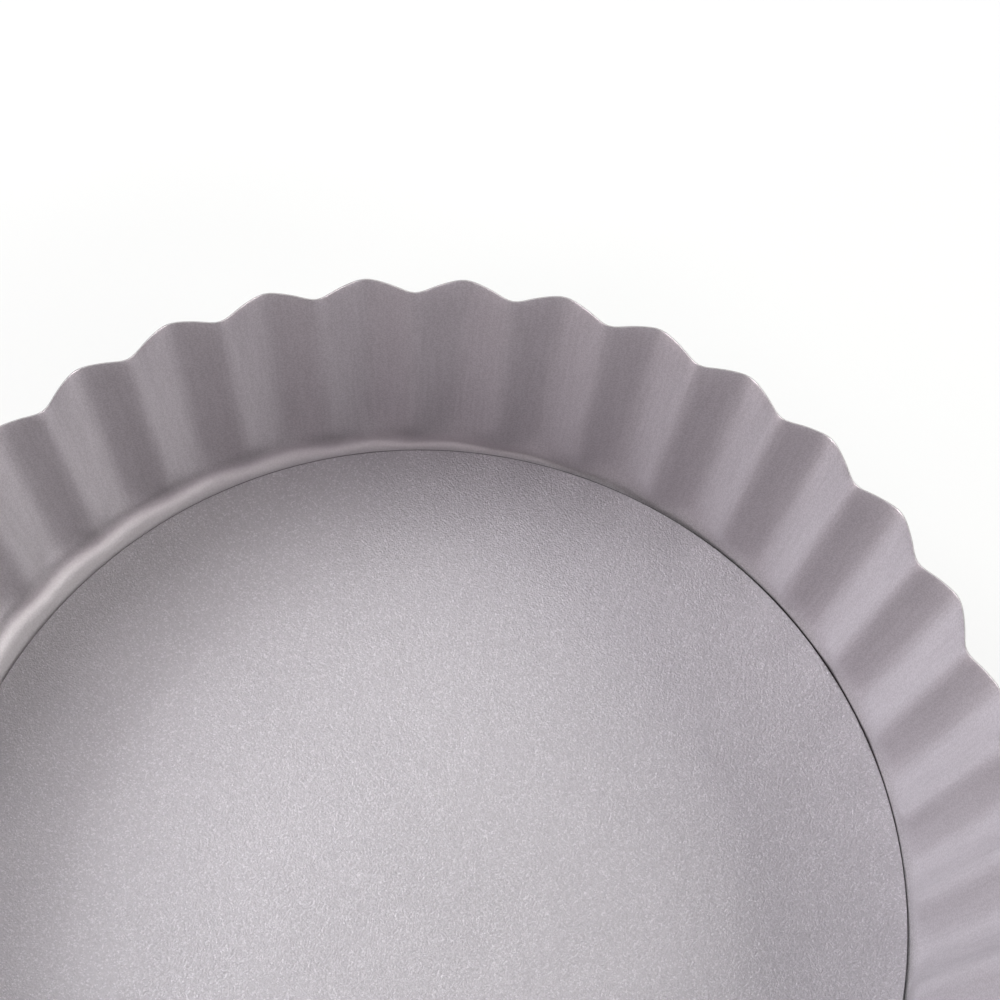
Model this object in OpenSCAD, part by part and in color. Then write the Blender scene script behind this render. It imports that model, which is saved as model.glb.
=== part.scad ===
// Round fluted baking pan with a loose base.
// Two pressings of coated sheet steel: a fluted ring whose foot turns in to a flat ledge,
// and a flat round plate that lies loose on that ledge and lifts out through the rim.
// The origin is the middle of the ring's underside, and +Z points up out of the pan.

/* [Ring] */
// Diameter over the lobes at the rim, outside
rim_d = 230; // [218:1:260]
// Height of the ring from the table to the rim
ring_h = 55; // [36:1:70]
// Thickness of the ring's sheet
sheet_t = 0.6; // [0.5:0.1:1]
// Inside radius of the bend between the ledge and the wall
foot_bend_r = 1.6; // [1.4:0.1:2.4]
// Width of the flat ledge that carries the base, from the hole to the bend
ledge_w = 7; // [6:0.5:12]

/* [Flutes] */
// Number of flutes round the wall
flutes = 36; // [24:1:40]
// Depth of a flute at the rim, from the inward ridge to the top of the lobe
flute_depth = 3.1; // [2:0.1:4]
// Depth that the flutes would have at the foot, before they fade out into its round bend
flute_foot_depth = 1.8; // [0.6:0.1:2]
// Height above the ledge over which the flutes fade out
flute_fade_h = 4.4; // [3:0.2:8]

/* [Lip] */
// Height of the lip that flares out below the rim
lip_h = 3; // [2:0.5:5]
// How far the lip flares out
lip_flare = 0.3; // [0.2:0.1:1]

/* [Base] */
// Diameter of the loose base
base_d = 197; // [180:1:200]
// Thickness of the loose base
base_t = 0.8; // [0.6:0.1:1.5]
// Roll of the base's sheared lower edge, across and up
base_edge = 0.5; // [0.3:0.05:0.55]
// Room round the base when it lies in the middle, out to where the bend starts
base_play = 2.25; // [1:0.05:3.5]
// Way that the base's flat underside still has, up to the bend, on the side that it has slid to
slid_gap = 0.05; // [0.05:0.05:1]
// Direction in which the base has slid, from +X towards +Y
slid_dir = 26; // [0:1:359]

/* [Hidden] */

// Facets of the base's true round faces
round_fn = 180;
// Columns of the sheet in each flute, and flat steps across the bend of the foot
flute_columns = 8;
bend_steps = 3;
// Second wave of a flute, as a share of the first: it broadens the lobes and sharpens the ridges
ridge_share = -0.06;
// Shares of the lip's height and of its flare at the row halfway up its curve
lip_mid_h_share = 0.5;
lip_mid_flare_share = 0.3;

// Half depths of the flutes, and the radii where the ledge starts, where its bend starts and
// where the wall's mid-line would meet the rim without the lip's flare
flute_amp = flute_depth / 2;
flute_foot_amp = flute_foot_depth / 2;
seat_r = base_d / 2 + base_play;
hole_r = seat_r - ledge_w;
rim_r = rim_d / 2 - sheet_t - lip_flare - flute_amp * (1 + ridge_share);

// The bend's centre, and the straight wall that runs from its tangent point to the rim
bend_z = sheet_t + foot_bend_r;
to_rim = norm([rim_r - seat_r, ring_h - bend_z]);
wall_lean = 90 - atan2(ring_h - bend_z, rim_r - seat_r) - asin(foot_bend_r / to_rim);
bend_turn = 90 - wall_lean;
wall_foot = [seat_r + foot_bend_r * cos(wall_lean), bend_z - foot_bend_r * sin(wall_lean)];

// Half depth of the flutes at a height: none on the ledge, fading in above it, then growing to
// the rim. The wave of one flute is round at its lobe and narrower at its ridge.
function smooth(x) = let (t = min(max(x, 0), 1)) t * t * (3 - 2 * t);
function flute_amp_at(z) =
    let (up = z - sheet_t, grown = (flute_amp - flute_foot_amp) * up / (ring_h - sheet_t))
    (flute_foot_amp + grown) * smooth(up / flute_fade_h);
function flute_wave(turn) = cos(turn) + ridge_share * cos(2 * turn);

// Rows of the sheet's face at a depth below its inner face, from the hole to the rim. Each row is
// [radius, height, half depth of the flutes]. A row of the bend is at an angle turned from the
// ledge, and a row of the wall at a height of the inner face. The rim itself is level.
function bend_row(turn, depth) =
    [seat_r + (foot_bend_r + depth) * sin(turn),
     bend_z - (foot_bend_r + depth) * cos(turn),
     flute_amp_at(bend_z - foot_bend_r * cos(turn))];
function wall_row(z, depth, flare) =
    [wall_foot[0] + (z - wall_foot[1]) * tan(wall_lean) + depth * cos(wall_lean) + flare,
     z - depth * sin(wall_lean),
     flute_amp_at(z)];
fade_top_z = sheet_t + flute_fade_h;
fade_mid_z = (wall_foot[1] + fade_top_z) / 2;
lip_z = ring_h - lip_h;
lip_mid_z = lip_z + lip_h * lip_mid_h_share;
function sheet_rows(depth) = [
    [hole_r, sheet_t - depth, 0],
    for (i = [0 : bend_steps]) bend_row(bend_turn * i / bend_steps, depth),
    wall_row(fade_mid_z, depth, 0),
    wall_row(fade_top_z, depth, 0),
    wall_row(lip_z, depth, 0),
    wall_row(lip_mid_z, depth, lip_flare * lip_mid_flare_share),
    [wall_row(ring_h, 0, lip_flare)[0] + depth, ring_h, flute_amp_at(ring_h)]
];

// All rows round the sheet's section: up the inner face, then down the outer one
inner_rows = sheet_rows(0);
outer_rows = sheet_rows(sheet_t);
rows_up = len(inner_rows);
section = [
    for (row = inner_rows) row,
    for (i = [1 : rows_up]) outer_rows[rows_up - i]
];
rows = len(section);
columns = flutes * flute_columns;

function ring_point(row, turn) =
    let (r = row[0] + row[2] * flute_wave(flutes * turn))
    [r * cos(turn), r * sin(turn), row[1]];

// The ring is the sheet's section carried round once, two triangles to each cell
module fluted_ring() {
    points = [
        for (row = section) for (c = [0 : columns - 1]) ring_point(row, 360 * c / columns)
    ];
    faces = [
        for (i = [0 : rows - 1]) for (c = [0 : columns - 1])
            let (this = i * columns, next = (i + 1) % rows * columns, d = (c + 1) % columns)
            each [[this + c, next + c, next + d], [this + c, next + d, this + d]]
    ];
    color([0.60, 0.57, 0.60])
    polyhedron(points = points, faces = faces, convexity = 8);
}

// The base lies on the ledge, slid to one side until its underside is nearly at the bend
module loose_base() {
    base_r = base_d / 2;
    slid = base_play + base_edge - slid_gap;
    color([0.68, 0.65, 0.68])
    translate([slid * cos(slid_dir), slid * sin(slid_dir), sheet_t])
    rotate_extrude($fn = round_fn)
        polygon([
            [0, 0], [base_r - base_edge, 0], [base_r, base_edge], [base_r, base_t], [0, base_t]
        ]);
}

fluted_ring();
loose_base();
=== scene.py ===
"""Looks of a round fluted baking pan with a loose base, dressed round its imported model.

Two pressings of coated sheet steel are made here as numpy surfaces in the frame's own metres: the
fluted ring with its ledge, and the flat plate that lies loose on that ledge. The studio round them
has a pale floor, soft lamps and a camera at the photograph's viewing angle.
"""

import logging
import math
from dataclasses import dataclass
from enum import Enum

import bpy
import numpy as np
from mathutils import Matrix, Vector


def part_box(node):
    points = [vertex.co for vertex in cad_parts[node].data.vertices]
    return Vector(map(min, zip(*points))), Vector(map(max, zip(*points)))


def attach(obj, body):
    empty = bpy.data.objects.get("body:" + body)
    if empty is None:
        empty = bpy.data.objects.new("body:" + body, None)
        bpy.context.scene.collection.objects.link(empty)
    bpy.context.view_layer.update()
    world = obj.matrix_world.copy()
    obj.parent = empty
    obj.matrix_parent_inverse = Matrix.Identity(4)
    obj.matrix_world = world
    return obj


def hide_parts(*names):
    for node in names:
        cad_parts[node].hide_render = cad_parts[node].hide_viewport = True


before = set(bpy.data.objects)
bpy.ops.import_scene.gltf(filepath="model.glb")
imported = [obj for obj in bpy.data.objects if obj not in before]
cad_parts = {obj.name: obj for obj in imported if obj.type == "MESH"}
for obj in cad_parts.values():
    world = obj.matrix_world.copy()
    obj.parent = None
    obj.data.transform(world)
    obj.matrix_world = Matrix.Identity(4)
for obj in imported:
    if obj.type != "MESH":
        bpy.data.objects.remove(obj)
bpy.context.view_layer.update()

MM = 0.001
SHEET_ATTRIBUTE = "along_sheet"
BARE_ATTRIBUTE = "bare_edge"
Colour = tuple[float, float, float]
KEY_TINT: Colour = (0.955, 1.0, 0.975)
SIDE_TINT: Colour = (0.95, 1.0, 0.87)
FILL_TINT: Colour = (1.0, 0.9, 0.9)
COATING_IOR = 1.45
NOISE_ROUGHNESS = 0.55
EVEN = Vector((1.0, 1.0, 1.0))

log = logging.getLogger("baking_pan")


class Body(Enum):
    """The two bodies of the frame that pieces ride on."""

    RING = "ring"
    BASE = "base"


class Slot(Enum):
    """The record's material slots."""

    RING = "ring_coating"
    BASE = "base_coating"


def smooth_step(x: np.ndarray) -> np.ndarray:
    """Rises from 0 to 1 with level ends: three x squared less two x cubed, held outside 0 to 1.

    Args:
        x: Places along the rise, 0 at its start and 1 at its end.

    Returns:
        The height of the rise at each place.
    """
    held = np.clip(x, 0.0, 1.0)
    return held * held * (3.0 - 2.0 * held)


def unit(vectors: np.ndarray) -> np.ndarray:
    """Divides each vector by its own length.

    Args:
        vectors: The vectors, along the last axis.

    Returns:
        Vectors of length 1 that point the same ways.
    """
    return vectors / np.linalg.norm(vectors, axis=-1, keepdims=True)


def direction(azimuth: float, elevation: float) -> Vector:
    """The unit vector that points a given way.

    Its level part is the cosine of the elevation, shared out by the cosine and the sine of the
    azimuth, and its height is the sine of the elevation.

    Args:
        azimuth: The angle round +Z, from +X towards +Y, in radians.
        elevation: The angle above level, in radians.

    Returns:
        The vector.
    """
    level = math.cos(elevation)
    return Vector((level * math.cos(azimuth), level * math.sin(azimuth), math.sin(elevation)))


def add_mesh(
    name: str,
    points: np.ndarray,
    faces: list[tuple[int, ...]],
    followed: np.ndarray,
    bare: np.ndarray,
) -> bpy.types.Object:
    """Makes a smooth-shaded mesh object at the origin, with its place in its mesh.

    Args:
        name: The piece's name.
        points: One row for each vertex, in metres.
        faces: The vertices of each face, anticlockwise as seen from outside.
        followed: For each vertex, the place on the sheet that patterns follow, in metres.
        bare: For each vertex, 1 where the sheet's cut edge is bare of coating and else 0.

    Returns:
        The new object, linked to the scene.
    """
    mesh = bpy.data.meshes.new(name)
    mesh.from_pydata(points.tolist(), [], faces)
    attribute = mesh.attributes.new(SHEET_ATTRIBUTE, "FLOAT_VECTOR", "POINT")
    attribute.data.foreach_set("vector", followed.astype(np.float32).ravel())
    attribute = mesh.attributes.new(BARE_ATTRIBUTE, "FLOAT", "POINT")
    attribute.data.foreach_set("value", bare.astype(np.float32).ravel())
    mesh.shade_smooth()
    mesh.validate()
    piece = bpy.data.objects.new(name, mesh)
    bpy.context.scene.collection.objects.link(piece)
    return piece


def wrapped_faces(rows: int, columns: int, closed_rows: bool) -> np.ndarray:
    """Joins a grid of vertices into four-sided faces, wrapping round its columns.

    The face of a cell joins its corner, the next row, the next row of the next column and the
    next column, all as whole arrays.

    Args:
        rows: How many rows the grid has.
        columns: How many columns each row has.
        closed_rows: Whether the last row joins the first one too.

    Returns:
        One row of four vertex numbers for each face.
    """
    row = np.arange(rows if closed_rows else rows - 1)[:, None]
    column = np.arange(columns)[None, :]
    next_row = (row + 1) % rows
    next_column = (column + 1) % columns
    corners = (
        row * columns + column,
        next_row * columns + column,
        next_row * columns + next_column,
        row * columns + next_column,
    )
    return np.stack(corners, axis=-1).reshape(-1, 4)


class Signal:
    """A number that varies over a surface, worked with as a Python number is."""

    def __init__(self, graph: "Graph", socket: bpy.types.NodeSocket) -> None:
        """Wraps a node's output socket.

        Args:
            graph: The node tree that the socket belongs to.
            socket: The output that carries the number.
        """
        self.graph = graph
        self.socket = socket

    def _math(self, operation: str, left: "Signal | float", right: "Signal | float") -> "Signal":
        """Adds a Math node.

        Args:
            operation: The node's operation.
            left: What goes into its first socket.
            right: What goes into its second socket.

        Returns:
            The node's result.
        """
        node = self.graph.add("ShaderNodeMath", {"operation": operation}, {0: left, 1: right})
        return Signal(self.graph, node.outputs[0])

    def __add__(self, other: "Signal | float") -> "Signal":
        """The sum of two signals, or of a signal and a number."""
        return self._math("ADD", self, other)

    def __radd__(self, other: float) -> "Signal":
        """A number plus this signal."""
        return self._math("ADD", other, self)

    def __sub__(self, other: "Signal | float") -> "Signal":
        """This signal less another, or less a number."""
        return self._math("SUBTRACT", self, other)

    def __rsub__(self, other: float) -> "Signal":
        """A number less this signal."""
        return self._math("SUBTRACT", other, self)

    def __mul__(self, other: "Signal | float") -> "Signal":
        """The product of two signals, or of a signal and a number."""
        return self._math("MULTIPLY", self, other)

    def __rmul__(self, other: float) -> "Signal":
        """A number times this signal."""
        return self._math("MULTIPLY", other, self)

    def rise(self, start: float, end: float) -> "Signal":
        """A smooth rise of this signal.

        Args:
            start: The value at and below which the rise is 0.
            end: The value at and above which it is 1.

        Returns:
            The rise, from 0 to 1.
        """
        node = self.graph.add(
            "ShaderNodeMapRange",
            {"interpolation_type": "SMOOTHSTEP"},
            {"Value": self, "From Min": start, "From Max": end},
        )
        return Signal(self.graph, node.outputs["Result"])


class Graph:
    """A node tree that is being built."""

    def __init__(self, tree: bpy.types.NodeTree) -> None:
        """Empties a tree and gets ready to fill it.

        Args:
            tree: The node tree of a material or of the world.
        """
        self.tree = tree
        tree.nodes.clear()

    def add(self, kind: str, settings: dict, sockets: dict) -> bpy.types.Node:
        """Adds any node.

        Args:
            kind: The node's type.
            settings: The node's own settings, which are made first.
            sockets: A value, a signal or an output socket for each input, by name or number.

        Returns:
            The new node.
        """
        node = self.tree.nodes.new(kind)
        for name, setting in settings.items():
            setattr(node, name, setting)
        for key, value in sockets.items():
            if isinstance(value, Signal):
                self.tree.links.new(value.socket, node.inputs[key])
            elif isinstance(value, bpy.types.NodeSocket):
                self.tree.links.new(value, node.inputs[key])
            else:
                node.inputs[key].default_value = value
        return node

    def noise(
        self, place: bpy.types.NodeSocket, feature: float, detail: float, stretch: Vector
    ) -> Signal:
        """Noise between 0 and 1 in three dimensions.

        Args:
            place: The coordinates that the noise is read at, in metres.
            feature: The size of its largest features, in metres.
            detail: How many finer layers are added.
            stretch: How many times longer the features are along each axis.

        Returns:
            The noise, with its middle at a half.
        """
        scaled = self.add(
            "ShaderNodeVectorMath",
            {"operation": "DIVIDE"},
            {0: place, 1: tuple(feature * part for part in stretch)},
        )
        node = self.add(
            "ShaderNodeTexNoise",
            {"noise_dimensions": "3D"},
            {
                "Vector": scaled.outputs[0],
                "Scale": 1.0,
                "Detail": detail,
                "Roughness": NOISE_ROUGHNESS,
            },
        )
        return Signal(self, node.outputs["Fac"])

    def flakes(self, place: bpy.types.NodeSocket, size: float) -> Signal:
        """Small cells that each have a random value between 0 and 1.

        Args:
            place: The coordinates that the cells are laid out in, in metres.
            size: The distance between their middles, in metres.

        Returns:
            The value of the cell at each place.
        """
        scale = {"Vector": place, "Scale": 1.0 / size}
        node = self.add("ShaderNodeTexVoronoi", {"voronoi_dimensions": "3D"}, scale)
        parts = self.add("ShaderNodeSeparateColor", {}, {0: node.outputs["Color"]})
        return Signal(self, parts.outputs[0])

    def distance(self, place: bpy.types.NodeSocket, point: tuple[float, float, float]) -> Signal:
        """How far each place is from a point.

        Args:
            place: The coordinates of the places, in metres.
            point: The point, in metres.

        Returns:
            The distance, in metres.
        """
        node = self.add("ShaderNodeVectorMath", {"operation": "DISTANCE"}, {0: place, 1: point})
        return Signal(self, node.outputs["Value"])

    def height(self, place: bpy.types.NodeSocket) -> Signal:
        """The Z part of coordinates."""
        return Signal(self, self.add("ShaderNodeSeparateXYZ", {}, {0: place}).outputs["Z"])

    def blend(
        self, below: "bpy.types.NodeSocket | Colour", above: Colour, share: Signal
    ) -> bpy.types.NodeSocket:
        """Lays a colour over another one.

        Args:
            below: The colour where the share is 0, or the socket that carries it.
            above: The colour where the share is 1.
            share: How much of the upper colour shows.

        Returns:
            The mixed colour's socket.
        """
        under = below if isinstance(below, bpy.types.NodeSocket) else (*below, 1.0)
        node = self.add(
            "ShaderNodeMix",
            {"data_type": "RGBA"},
            {"Factor": share, "A": under, "B": (*above, 1.0)},
        )
        return node.outputs["Result"]


def new_material(name: str) -> tuple[bpy.types.Material, Graph]:
    """Makes a material with an empty node tree.

    Args:
        name: The material's name.

    Returns:
        The material, and the graph that fills it.
    """
    made = bpy.data.materials.new(name)
    made.use_nodes = True
    return made, Graph(made.node_tree)


@dataclass(frozen=True)
class Coating:
    """A satin metallic non-stick coating on sheet steel."""

    slot: Slot
    dark: Colour
    light: Colour
    metallic: float
    roughness: float
    roughness_spread: float
    cut: Colour
    cut_metallic: float
    cut_roughness: float

    def shader(
        self,
        graph: Graph,
        share: Signal,
        roughness: Signal,
        height: Signal,
        rise: float,
        layers: tuple[tuple[Colour, Signal], ...],
    ) -> None:
        """Adds the colour, the bump, the surface shader and the output.

        Args:
            graph: The tree to add them to.
            share: How light the coating is, from its dark colour at 0 to its light one at 1.
            roughness: The roughness of the coating.
            height: The height of its grain, as a share of its whole rise.
            rise: The whole rise of the grain, in metres.
            layers: Colours that lie over the coating, and how much of each one shows.
        """
        edge = graph.add("ShaderNodeAttribute", {"attribute_name": BARE_ATTRIBUTE}, {})
        bare = Signal(graph, edge.outputs["Fac"])
        coated = graph.blend(self.dark, self.light, share)
        for tone, cover in layers:
            coated = graph.blend(coated, tone, cover)
        colour = graph.blend(coated, self.cut, bare)
        metallic = self.metallic + bare * (self.cut_metallic - self.metallic)
        bump = graph.add(
            "ShaderNodeBump", {}, {"Strength": 1.0, "Distance": rise, "Height": height}
        )
        surface = graph.add(
            "ShaderNodeBsdfPrincipled",
            {"distribution": "MULTI_GGX"},
            {
                "Base Color": colour,
                "Metallic": metallic,
                "Roughness": roughness + bare * self.cut_roughness,
                "IOR": COATING_IOR,
                "Normal": bump.outputs[0],
            },
        )
        graph.add("ShaderNodeOutputMaterial", {}, {"Surface": surface.outputs[0]})


@dataclass(frozen=True)
class PlateCoating(Coating):
    """The base's coating: a fine grain of flakes, drawn out a little along one direction.

    The lightest flakes glint, and wide faint clouds lie over the whole plate.
    """

    grain: float
    grain_height: float
    grain_angle: float
    grain_length: float
    flake: float
    cloud: float = 30.0 * MM
    streak_width: float = 1.5
    streak_height: float = 0.6
    middle_share: float = 0.4
    flake_share: float = 0.3
    sparkle_share: float = 0.5
    streak_share: float = 0.5
    glint_start: float = 0.8
    glint_share: float = 0.7
    cloud_share: float = 0.2

    def material(self) -> bpy.types.Material:
        """Builds the material of the loose base.

        Returns:
            The new material.
        """
        made, graph = new_material(self.slot.value + "_finish")
        here = graph.add("ShaderNodeTexCoord", {}, {}).outputs["Object"]
        turned = graph.add(
            "ShaderNodeMapping",
            {"vector_type": "TEXTURE"},
            {"Vector": here, "Rotation": (0.0, 0.0, self.grain_angle)},
        ).outputs[0]
        drawn = Vector((self.grain_length, 1.0, 1.0))
        sparkle = graph.noise(here, self.grain, detail=1.0, stretch=EVEN)
        streak = graph.noise(turned, self.grain * self.streak_width, detail=1.0, stretch=drawn)
        cloud = graph.noise(here, self.cloud, detail=2.0, stretch=EVEN)
        flake = graph.flakes(here, self.flake)
        glint = flake.rise(self.glint_start, 1.0)
        fine = (
            (flake - 0.5) * self.flake_share
            + (sparkle - 0.5) * self.sparkle_share
            + (streak - 0.5) * self.streak_share
        )
        clouded = (cloud - 0.5) * self.cloud_share
        share = self.middle_share + fine + glint * self.glint_share + clouded
        roughness = self.roughness + (cloud - 0.5) * self.roughness_spread
        height = sparkle + streak * self.streak_height
        self.shader(graph, share, roughness, height, self.grain_height, ())
        return made


@dataclass(frozen=True)
class RingCoating(Coating):
    """The ring's coating: smooth, with faint streaks down the flutes and a grainy ledge.

    A fine dark ring of painted shade runs on the ledge along the edge of the base, where the joint
    between plate and ledge lies in shade. The foot is rougher than the wall, and is painted paler
    away from the side that the base leans to, which is painted light.
    """

    grain: float
    grain_height: float
    ledge_height: float
    foot_roughness: float
    # Painted light: the paler tint laid over the foot, away from the side that the base leans to.
    foot_light_tint: Colour
    foot_light_share: float
    lean_way: Vector
    lean_start: float
    lean_end: float
    # Painted shade: the colour of the dark ring painted on the ledge where the joint with the base
    # lies in shade.
    painted_joint_shade: Colour
    joint_shade_middle: Vector
    joint_shade_r: float
    joint_shade_w: float
    streak: float
    streak_length: float
    cloud: float = 14.0 * MM
    foot_h: float = 4.3 * MM
    wall_calm: float = 0.4
    middle_share: float = 0.5
    grain_share: float = 6.5
    streak_share: float = 1.2
    cloud_share: float = 0.3

    def material(self) -> bpy.types.Material:
        """Builds the material of the fluted ring.

        Returns:
            The new material.
        """
        made, graph = new_material(self.slot.value + "_finish")
        here = graph.add("ShaderNodeTexCoord", {}, {}).outputs["Object"]
        along = graph.add("ShaderNodeAttribute", {"attribute_name": SHEET_ATTRIBUTE}, {})
        drawn = Vector((1.0, 1.0, self.streak_length))
        sparkle = graph.noise(here, self.grain, detail=1.0, stretch=EVEN)
        streak = graph.noise(along.outputs["Vector"], self.streak, detail=2.0, stretch=drawn)
        cloud = graph.noise(here, self.cloud, detail=2.0, stretch=EVEN)
        wall = graph.height(here).rise(self.ledge_height, self.ledge_height + self.foot_h)
        foot = 1.0 - wall
        fine = (sparkle - 0.5) * (1.0 - wall * self.wall_calm)
        streaked = (streak - 0.5) * wall * self.streak_share
        clouded = (cloud - 0.5) * self.cloud_share
        share = self.middle_share + fine * self.grain_share + streaked + clouded
        # Painted shade: a dark ring on the ledge just past the base's edge, where the joint lies in
        # shade.
        flat = graph.add("ShaderNodeVectorMath", {"operation": "MULTIPLY"}, {0: here, 1: (1, 1, 0)})
        middle = (self.joint_shade_middle.x, self.joint_shade_middle.y, 0.0)
        out = graph.distance(flat.outputs[0], middle)
        joint_shade_mask = (1.0 - out.rise(self.joint_shade_r, self.joint_shade_r + self.joint_shade_w)) * foot
        softer = foot * self.foot_roughness
        roughness = self.roughness + softer + (cloud - 0.5) * self.roughness_spread
        towards = graph.add(
            "ShaderNodeVectorMath", {"operation": "DOT_PRODUCT"}, {0: here, 1: self.lean_way}
        )
        leant = Signal(graph, towards.outputs["Value"]).rise(self.lean_start, self.lean_end)
        # Painted light: the foot is painted paler, fading out towards the side that the base leans
        # to.
        painted_foot_light = foot * (1.0 - leant) * self.foot_light_share
        self.shader(
            graph,
            share,
            roughness,
            fine,
            self.grain_height,
            ((self.foot_light_tint, painted_foot_light), (self.painted_joint_shade, joint_shade_mask)),
        )
        return made


@dataclass(frozen=True)
class FlutedRing:
    """The ring: one sheet whose section runs from the hole's edge up to the rim."""

    coating: RingCoating
    rim_r: float
    height: float
    sheet_t: float
    seat_r: float
    base_r: float
    slid: float
    slid_dir: float
    ledge_w: float = 7.0 * MM
    corner_r: float = 102.1 * MM
    near_pull: float = 0.95 * MM
    near_bend: float = 0.45 * MM
    far_bend: float = 3.1 * MM
    wall_reach: float = 1.15
    far_wave: float = 0.24 * MM
    wave_spread: float = 0.8
    ledge_tilt: float = math.radians(15.0)
    tilt_start: float = 0.4 * MM
    tilt_fade_h: float = 9.0 * MM
    flutes: int = 36
    flute_depth: float = 3.1 * MM
    flute_foot_depth: float = 1.8 * MM
    far_fade_h: float = 12.0 * MM
    near_fade_h: float = 9.0 * MM
    ridge_share: float = -0.06
    flank_share: float = 0.05
    rim_t: float = 0.22 * MM
    lip_h: float = 3.0 * MM
    lip_flare: float = 0.3 * MM
    edge_round: float = 0.1 * MM
    columns_per_flute: int = 20
    ledge_rows: int = 16
    bend_rows: int = 9
    fade_rows: int = 12
    wall_rows: int = 12
    lip_rows: int = 9
    edge_rows: int = 5

    def _turns(self) -> np.ndarray:
        """The angle of each column round the ring."""
        return np.linspace(0.0, 2.0 * math.pi, self.flutes * self.columns_per_flute, endpoint=False)

    def _near(self) -> np.ndarray:
        """Half of one plus the cosine of each column's angle from the way the base has slid."""
        return (1.0 + np.cos(self._turns() - self.slid_dir)) / 2.0

    def _wave(self) -> np.ndarray:
        """The wave of the flutes at each column: a cosine with some of its next two harmonics."""
        angle = self.flutes * self._turns()
        flanks = self.flank_share * np.cos(3.0 * angle)
        return np.cos(angle) + self.ridge_share * np.cos(2.0 * angle) + flanks

    def _inner_rows(self) -> int:
        """How many rows of points the inner face has."""
        wall = self.fade_rows + self.wall_rows + self.lip_rows
        return self.ledge_rows + self.bend_rows + wall

    def section(self) -> tuple[np.ndarray, np.ndarray]:
        """The inner face's section at each column, without its flutes.

        It is a level ledge, a bend that turns up from it, and a straight wall that leaves the
        bend as its tangent and curves outward by the square of the way up the lip. The bend is
        a parabola, the quadratic curve whose middle control point is the corner where ledge and
        wall would meet, and it reaches further up the wall than along the ledge. It is tight and
        a little further in where the base leans on it, and wider on the far side.

        Returns:
            The radius and the height, rows by columns.
        """
        near = self._near()
        half = self.flute_depth / 2.0
        crest = half * (1.0 + self.ridge_share + self.flank_share)
        rim_mid = self.rim_r - self.rim_t - self.lip_flare - crest
        corner = self.corner_r - self.near_pull * near
        bend = self.far_bend + (self.near_bend - self.far_bend) * near
        wall_angle = np.arctan2(self.height - self.sheet_t, rim_mid - corner)
        seat = corner - bend
        hole = self.seat_r - self.ledge_w
        share = np.linspace(0.0, 1.0, self.ledge_rows + 1)[:-1, None]
        ledge_r = hole + (seat - hole) * share
        share = np.linspace(0.0, 1.0, self.bend_rows + 1)[:-1, None]
        reach = bend * self.wall_reach
        bend_r = seat + bend * share * (2.0 - share) + reach * np.cos(wall_angle) * share**2
        bend_z = self.sheet_t + reach * np.sin(wall_angle) * share**2
        foot_z = self.sheet_t + reach * np.sin(wall_angle)
        fade_top = self.sheet_t + self.near_fade_h
        lip_z = self.height - self.lip_h
        share = np.linspace(0.0, 1.0, self.fade_rows + 1)[:-1, None]
        upper = np.concatenate(
            [
                np.linspace(fade_top, lip_z, self.wall_rows + 1)[:-1],
                np.linspace(lip_z, self.height - self.edge_round, self.lip_rows),
            ]
        )
        upper_z = np.broadcast_to(upper[:, None], (len(upper), len(near)))
        wall_z = np.concatenate([foot_z + (fade_top - foot_z) * share, upper_z])
        flare = self.lip_flare * np.clip((wall_z - lip_z) / self.lip_h, 0.0, 1.0) ** 2
        wall_r = corner + (wall_z - self.sheet_t) / np.tan(wall_angle) + flare
        radius = np.concatenate([ledge_r, bend_r, wall_r])
        height = np.concatenate([np.full_like(ledge_r, self.sheet_t), bend_z, wall_z])
        return radius, height

    def inner_face(self) -> np.ndarray:
        """The inner face as a grid of points, one row for each row of the section.

        Each point's radius is the section's radius plus the flutes' half depth there times the
        wave of the flutes. The half depth grows steadily with height. It fades out towards the
        foot, down to nothing where the base leans and to a shallow wave on the far side, which
        dies out across the ledge. Past the edge of the base the ledge rises outward in a slight
        dish, which fades out up the wall.

        Returns:
            The points, rows by columns by three.
        """
        radius, height = self.section()
        turn = self._turns()
        wave = self._wave()
        above = height - self.sheet_t
        grown = (self.flute_depth - self.flute_foot_depth) * above / (self.height - self.sheet_t)
        near = self._near()
        fade_h = self.far_fade_h + (self.near_fade_h - self.far_fade_h) * near
        faded = smooth_step(above / fade_h)
        across = smooth_step((radius - radius[0]) / (radius[self.ledge_rows] - radius[0]))
        far = smooth_step(2.0 * (1.0 - near) / self.wave_spread)
        foot_half = self.far_wave * far * across
        half = (self.flute_foot_depth + grown) / 2.0 * faded + foot_half * (1.0 - faded)
        reach = radius + half * wave
        angle = turn - self.slid_dir
        edge = self.slid * np.cos(angle) + np.sqrt(
            self.base_r**2 - (self.slid * np.sin(angle)) ** 2
        )
        past = np.clip(reach - edge, 0.0, None)
        dish = math.tan(self.ledge_tilt) * past**2 / (past + self.tilt_start)
        foot = self.ledge_rows + self.bend_rows
        up_wall = (height[foot:] - height[foot]) / self.tilt_fade_h
        dish[foot:] = dish[foot] * (1.0 - smooth_step(up_wall))
        level = height + dish
        return np.stack([reach * np.cos(turn), reach * np.sin(turn), level], axis=-1)

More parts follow.
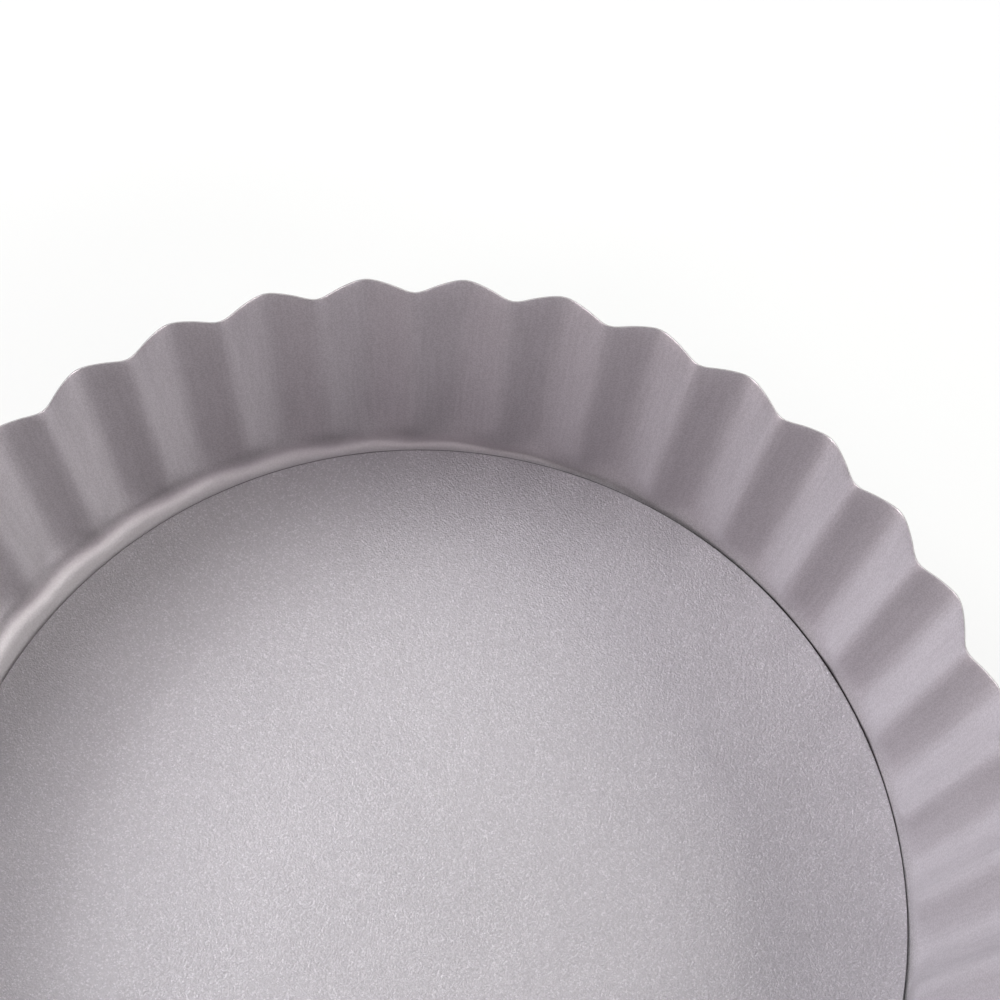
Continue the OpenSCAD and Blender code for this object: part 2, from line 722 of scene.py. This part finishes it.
    def sheet(self) -> tuple[np.ndarray, np.ndarray]:
        """The whole skin of the sheet, as rows round its section.

        The outer face lies one sheet's thickness behind the inner face along its true normal,
        and the lip thins out smoothly to its trimmed edge. Each cut edge is half an ellipse from
        one face to the other: half the thickness across, and the edge's rounding along the sheet.

        Returns:
            The points, rows by columns by three, and the way along the section at each row.
        """
        inner = self.inner_face()
        steps = np.diff(inner, axis=0)
        way = np.concatenate([[0.0], np.cumsum(np.linalg.norm(steps, axis=-1).mean(axis=1))])
        padded = np.concatenate([inner[:, -1:], inner, inner[:, :1]], axis=1)
        round_the_ring = (padded[:, 2:] - padded[:, :-2]) / 2.0
        steps = unit(steps)
        up_the_sheet = unit(np.concatenate([steps[:1], steps[:-1] + steps[1:], steps[-1:]]))
        into_the_pan = unit(np.cross(up_the_sheet, round_the_ring))
        into_the_pan *= np.sign(into_the_pan[0, 0, 2])
        up_lip = (inner[..., 2].mean(axis=1) - self.height + self.lip_h) / self.lip_h
        thick = self.sheet_t + (self.rim_t - self.sheet_t) * smooth_step(up_lip)
        outer = inner - thick[:, None, None] * into_the_pan
        angle = np.linspace(0.0, math.pi, self.edge_rows + 2)[1:-1, None, None]

        def cut_edge(row: int, outward: np.ndarray) -> np.ndarray:
            """The rounded cut edge that closes the sheet at one row, from its inner face.

            Args:
                row: The row of the inner face that it starts from.
                outward: The way out of the sheet at each column.

            Returns:
                The edge's points, rows by columns by three.
            """
            across = thick[row] / 2.0 * into_the_pan[row]
            middle = inner[row] - across
            return middle + np.cos(angle) * across + np.sin(angle) * self.edge_round * outward

        rim = cut_edge(-1, up_the_sheet[-1])
        hole = cut_edge(0, -up_the_sheet[0])
        points = np.concatenate([inner, rim, outer[::-1], hole[::-1]], axis=0)
        past = np.full(self.edge_rows, way[-1])
        along = np.concatenate([way, past, 2.0 * way[-1] - way[::-1], np.zeros(self.edge_rows)])
        return points, along

    def build(self) -> bpy.types.Object:
        """Makes the ring's piece, dresses it and ties it to the frame.

        Returns:
            The finished piece.
        """
        points, along = self.sheet()
        rows, columns = points.shape[:2]
        turn = np.linspace(0.0, 2.0 * math.pi, columns, endpoint=False)
        followed = np.stack(
            [
                np.broadcast_to(self.rim_r * np.cos(turn), (rows, columns)),
                np.broadcast_to(self.rim_r * np.sin(turn), (rows, columns)),
                np.broadcast_to(along[:, None], (rows, columns)),
            ],
            axis=-1,
        )
        faces = wrapped_faces(rows, columns, closed_rows=True)[:, ::-1]
        bare = np.zeros((rows, columns))
        bare[self._inner_rows() : self._inner_rows() + self.edge_rows] = 1.0
        piece = add_mesh(
            "ring_sheet", points.reshape(-1, 3), faces.tolist(), followed.reshape(-1, 3), bare
        )
        piece.data.materials.append(self.coating.material())
        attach(piece, Body.RING.value)
        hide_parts("fluted_ring")
        return piece


@dataclass(frozen=True)
class LooseBase:
    """The base: a flat round plate with rounded edges, lying where it has slid to."""

    coating: PlateCoating
    centre: Vector
    radius: float
    thickness: float
    top_round: float = 0.08 * MM
    lower_roll: float = 0.5 * MM
    pole_r: float = 1.0 * MM
    edge_w: float = 0.6 * MM
    columns: int = 360
    face_rows: int = 10
    round_rows: int = 5

    def profile(self) -> tuple[np.ndarray, np.ndarray]:
        """The plate's section from just off its axis on top, over its edge and back below.

        The flat faces are straight runs, the upper edge is a quarter circle and the lower edge
        a quarter ellipse.

        Returns:
            The radius and the height of each row.
        """
        upper = self.thickness
        lower_h = self.thickness - self.top_round
        flat_r = np.linspace(self.pole_r, self.radius - self.edge_w, self.face_rows)
        angle = np.linspace(0.0, math.pi / 2.0, self.round_rows)
        top_r = self.radius - self.top_round * (1.0 - np.sin(angle))
        top_z = upper - self.top_round * (1.0 - np.cos(angle))
        low_r = self.radius - self.lower_roll * (1.0 - np.cos(angle[1:]))
        low_z = min(self.lower_roll, lower_h) * (1.0 - np.sin(angle[1:]))
        radius = np.concatenate([flat_r, top_r, low_r, flat_r[::-1]])
        height = np.concatenate([np.full_like(flat_r, upper), top_z, low_z, np.zeros_like(flat_r)])
        return radius, height

    def build(self) -> bpy.types.Object:
        """Makes the base's piece, dresses it and ties it to the frame.

        The profile is carried round the plate's own axis, and a single point closes each face.

        Returns:
            The finished piece.
        """
        radius, height = self.profile()
        turn = np.linspace(0.0, 2.0 * math.pi, self.columns, endpoint=False)
        grid = np.stack(
            [
                radius[:, None] * np.cos(turn),
                radius[:, None] * np.sin(turn),
                np.broadcast_to(height[:, None], (len(radius), self.columns)),
            ],
            axis=-1,
        ).reshape(-1, 3)
        poles = np.array([[0.0, 0.0, self.thickness], [0.0, 0.0, 0.0]])
        points = np.concatenate([grid, poles]) + np.array(self.centre)
        faces = wrapped_faces(len(radius), self.columns, closed_rows=False).tolist()
        column = np.arange(self.columns)
        next_column = (column + 1) % self.columns
        top_pole = np.full(self.columns, len(grid))
        last = (len(radius) - 1) * self.columns
        faces += np.stack([top_pole, column, next_column], axis=-1).tolist()
        faces += np.stack([last + next_column, last + column, top_pole + 1], axis=-1).tolist()
        side = (height > 0.0) & (height < self.thickness)
        bare = np.concatenate([np.repeat(side, self.columns), [False, False]])
        piece = add_mesh("base_plate", points, faces, points, bare)
        piece.data.materials.append(self.coating.material())
        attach(piece, Body.BASE.value)
        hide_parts("loose_base")
        return piece


@dataclass(frozen=True)
class SoftLamp:
    """A square soft box that faces the pan. Its angles are in degrees, its sizes in metres."""

    name: str
    azimuth: float
    elevation: float
    brightness: float
    width: float = 0.5
    distance: float = 1.5
    colour: Colour = (1.0, 1.0, 1.0)

    def build(self, target: Vector) -> bpy.types.Object:
        """Adds the lamp.

        A lamp of some brightness sends that brightness times pi for each square metre.

        Args:
            target: The point that it faces.

        Returns:
            The lamp's object.
        """
        data = bpy.data.lights.new(self.name, "AREA")
        data.shape = "SQUARE"
        data.size = self.width
        data.energy = self.brightness * math.pi * self.width**2
        data.color = self.colour
        lamp = bpy.data.objects.new(self.name, data)
        bpy.context.scene.collection.objects.link(lamp)
        away = direction(math.radians(self.azimuth), math.radians(self.elevation))
        lamp.location = target + self.distance * away
        lamp.rotation_euler = away.to_track_quat("Z", "Y").to_euler()
        return lamp


@dataclass(frozen=True)
class Viewpoint:
    """The photograph's view: where the camera looks, from where (in degrees) and how far off."""

    aim: Vector
    azimuth: float
    elevation: float
    roll: float
    distance: float
    lens: float
    sensor: float = 36.0
    clip_start: float = 10.0 * MM

    def build(self) -> bpy.types.Object:
        """Adds the camera and makes it the scene's own.

        Returns:
            The camera's object.
        """
        azimuth = math.radians(self.azimuth)
        back = direction(azimuth, math.radians(self.elevation))
        level = Vector((-math.sin(azimuth), math.cos(azimuth), 0.0))
        upright = back.cross(level)
        roll = math.radians(self.roll)
        right = math.cos(roll) * level + math.sin(roll) * upright
        up = back.cross(right)
        data = bpy.data.cameras.new("photograph_view")
        data.lens = self.lens
        data.sensor_width = self.sensor
        data.clip_start = self.clip_start
        camera = bpy.data.objects.new("photograph_view", data)
        turned = Matrix((right, up, back)).transposed().to_4x4()
        camera.matrix_world = Matrix.Translation(self.aim + self.distance * back) @ turned
        bpy.context.scene.collection.objects.link(camera)
        bpy.context.scene.camera = camera
        return camera


@dataclass(frozen=True)
class Studio:
    """The plain room: a pale floor, soft lamps, an even sky and the camera."""

    viewpoint: Viewpoint
    lamps: tuple[SoftLamp, ...]
    sky: float
    floor_size: float = 6.0
    floor_drop: float = 0.1 * MM
    paper: Colour = (0.9, 0.9, 0.9)
    shaded_share: float = 0.25
    # Painted shadow: how much duller the floor's white is painted close round the pan.
    floor_shade: float = 0.045
    floor_shade_middle: tuple[float, float] = (-45.0 * MM, 5.0 * MM)
    floor_shade_start: float = 135.0 * MM
    floor_shade_end: float = 185.0 * MM
    band_start: float = 8.0
    band_end: float = 20.0
    band_share: float = 0.78
    bounce_limit: float = 4.0

    def _seen(self, graph: Graph) -> tuple[Signal, Signal]:
        """Two masks of the light path.

        Args:
            graph: The tree to add them to.

        Returns:
            1 for what the camera sees directly, and 1 for what it sees in a reflection or
            through glass.
        """
        path = graph.add("ShaderNodeLightPath", {}, {})
        camera = Signal(graph, path.outputs["Is Camera Ray"])
        glossy = Signal(graph, path.outputs["Is Glossy Ray"])
        through = Signal(graph, path.outputs["Is Transmission Ray"])
        return camera, glossy + through

    def floor(self) -> bpy.types.Object:
        """Adds the pale floor, which shows white and keeps a share of the pan's shadow.

        Close round the pan the white is painted a touch duller, as a painted shadow of the pan, and
        it clears with the distance.

        Returns:
            The floor's object.
        """
        half = self.floor_size / 2.0
        corners = [(-half, -half), (half, -half), (half, half), (-half, half)]
        mesh = bpy.data.meshes.new("floor")
        mesh.from_pydata([(x, y, -self.floor_drop) for x, y in corners], [], [(0, 1, 2, 3)])
        floor = bpy.data.objects.new("floor", mesh)
        bpy.context.scene.collection.objects.link(floor)
        made, graph = new_material("floor_paper")
        paper = graph.add("ShaderNodeBsdfDiffuse", {}, {"Color": (*self.paper, 1.0)})
        here = graph.add("ShaderNodeTexCoord", {}, {}).outputs["Object"]
        # Painted shadow round the pan: the white's strength drops close to the pan.
        away = graph.distance(here, (*self.floor_shade_middle, -self.floor_drop))
        clear = away.rise(self.floor_shade_start, self.floor_shade_end)
        white = graph.add(
            "ShaderNodeEmission", {}, {"Strength": 1.0 - self.floor_shade + clear * self.floor_shade}
        )
        camera, mirrored = self._seen(graph)
        share = (camera + mirrored) * (1.0 - self.shaded_share)
        mixed = graph.add(
            "ShaderNodeMixShader", {}, {0: share, 1: paper.outputs[0], 2: white.outputs[0]}
        )
        graph.add("ShaderNodeOutputMaterial", {}, {"Surface": mixed.outputs[0]})
        mesh.materials.append(made)
        return floor

    def build(self) -> None:
        """Adds the floor, the sky, the lamps and the camera.

        The sky shows white to the camera. In reflections only a band along the horizon is
        white, where the studio's pale backdrop would stand, and it fades out upwards. Light that
        has bounced is held below a limit, which keeps bright specks out of short renders.
        """
        self.floor()
        scene = bpy.context.scene
        world = bpy.data.worlds.new("studio_sky")
        world.use_nodes = True
        scene.world = world
        graph = Graph(world.node_tree)
        way = graph.add("ShaderNodeTexCoord", {}, {}).outputs["Generated"]
        start, end = (math.sin(math.radians(a)) for a in (self.band_start, self.band_end))
        above = graph.height(way).rise(start, end)
        camera, mirrored = self._seen(graph)
        white = camera + mirrored * (1.0 - above) * self.band_share
        strength = self.sky + white * (1.0 - self.sky)
        sky = graph.add(
            "ShaderNodeBackground", {}, {"Color": (1.0, 1.0, 1.0, 1.0), "Strength": strength}
        )
        graph.add("ShaderNodeOutputWorld", {}, {"Surface": sky.outputs[0]})
        for lamp in self.lamps:
            lamp.build(Vector((0.0, 0.0, 0.0)))
        self.viewpoint.build()
        scene.view_settings.view_transform = "Standard"
        scene.cycles.sample_clamp_indirect = self.bounce_limit


def main() -> None:
    """Builds the ring, the base and the studio round them, in that order."""
    logging.basicConfig(level=logging.INFO, format="%(message)s")
    ring_low, ring_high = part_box("fluted_ring")
    base_low, base_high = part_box("loose_base")
    base_r = (base_high.x - base_low.x) / 2.0
    base_play = 2.25 * MM
    # Where the ring of painted shade in the joint is centred, a little off the base's middle.
    joint_shade_shift = Vector((0.0, 0.25 * MM, 0.0))
    centre = Vector(
        ((base_low.x + base_high.x) / 2.0, (base_low.y + base_high.y) / 2.0, base_low.z)
    )
    ring_coating = RingCoating(
        slot=Slot.RING,
        dark=(0.480, 0.459, 0.481),
        light=(0.592, 0.571, 0.595),
        metallic=0.9,
        roughness=0.32,
        roughness_spread=0.06,
        cut=(0.42, 0.41, 0.42),
        cut_metallic=0.2,
        cut_roughness=0.4,
        grain=0.35 * MM,
        grain_height=0.03 * MM,
        ledge_height=2.0 * MM,
        foot_roughness=0.30,
        # Painted light on the foot:
        foot_light_tint=(0.69, 0.635, 0.685),
        foot_light_share=0.62,
        lean_way=Vector((centre.x, centre.y, 0.0)).normalized(),
        lean_start=40.0 * MM,
        lean_end=85.0 * MM,
        # Painted shade in the joint between ledge and base:
        painted_joint_shade=(0.05, 0.04, 0.045),
        joint_shade_middle=centre + joint_shade_shift,
        joint_shade_r=base_r + 0.02 * MM,
        joint_shade_w=0.2 * MM,
        streak=0.7 * MM,
        streak_length=20.0,
    )
    base_coating = PlateCoating(
        slot=Slot.BASE,
        dark=(0.494, 0.463, 0.503),
        light=(0.719, 0.681, 0.730),
        metallic=0.9,
        roughness=0.56,
        roughness_spread=0.06,
        cut=(0.42, 0.40, 0.42),
        cut_metallic=0.9,
        cut_roughness=0.1,
        grain=0.3 * MM,
        grain_height=0.13 * MM,
        grain_angle=math.radians(-38.0),
        grain_length=2.0,
        flake=0.25 * MM,
    )
    ring = FlutedRing(
        coating=ring_coating,
        rim_r=ring_high.x,
        height=ring_high.z,
        sheet_t=base_low.z,
        seat_r=base_r + base_play,
        base_r=base_r,
        slid=math.hypot(centre.x, centre.y),
        slid_dir=math.atan2(centre.y, centre.x),
    ).build()
    log.info("ring: %d faces", len(ring.data.polygons))
    base = LooseBase(
        coating=base_coating, centre=centre, radius=base_r, thickness=base_high.z - base_low.z
    ).build()
    log.info("base: %d faces", len(base.data.polygons))
    viewpoint = Viewpoint(
        aim=Vector((11.03 * MM, 89.41 * MM, 1.4 * MM)),
        azimuth=-91.26,
        elevation=69.198,
        roll=6.313,
        distance=558.3 * MM,
        lens=93.93,
    )
    lamps = (
        SoftLamp("left_back_box", 150.0, 40.0, 10.0, colour=KEY_TINT),
        SoftLamp("left_box", 180.0, 40.0, 5.2, colour=KEY_TINT),
        SoftLamp("left_back_upper_box", 126.0, 54.0, 3.6),
        SoftLamp("left_upper_box", 162.0, 54.0, 3.55),
        SoftLamp("right_back_box", 30.0, 40.0, 5.85, colour=SIDE_TINT),
        SoftLamp("right_box", 0.0, 40.0, 5.8),
        SoftLamp("right_low_box", 345.0, 24.0, 5.4, colour=SIDE_TINT),
        SoftLamp("front_left_box", 210.0, 40.0, 3.1, colour=FILL_TINT),
        SoftLamp("front_right_box", 300.0, 40.0, 1.5, colour=FILL_TINT),
        SoftLamp("front_fill", 255.0, 24.0, 3.0, colour=FILL_TINT),
        SoftLamp("front_left_fill", 216.0, 8.0, 24.0, colour=FILL_TINT),
        SoftLamp("front_right_fill", 324.0, 8.0, 16.9, colour=FILL_TINT),
    )
    Studio(viewpoint=viewpoint, lamps=lamps, sky=0.096).build()
    log.info("studio: %d lamps", len(lamps))


if __name__ == "__main__":
    main()
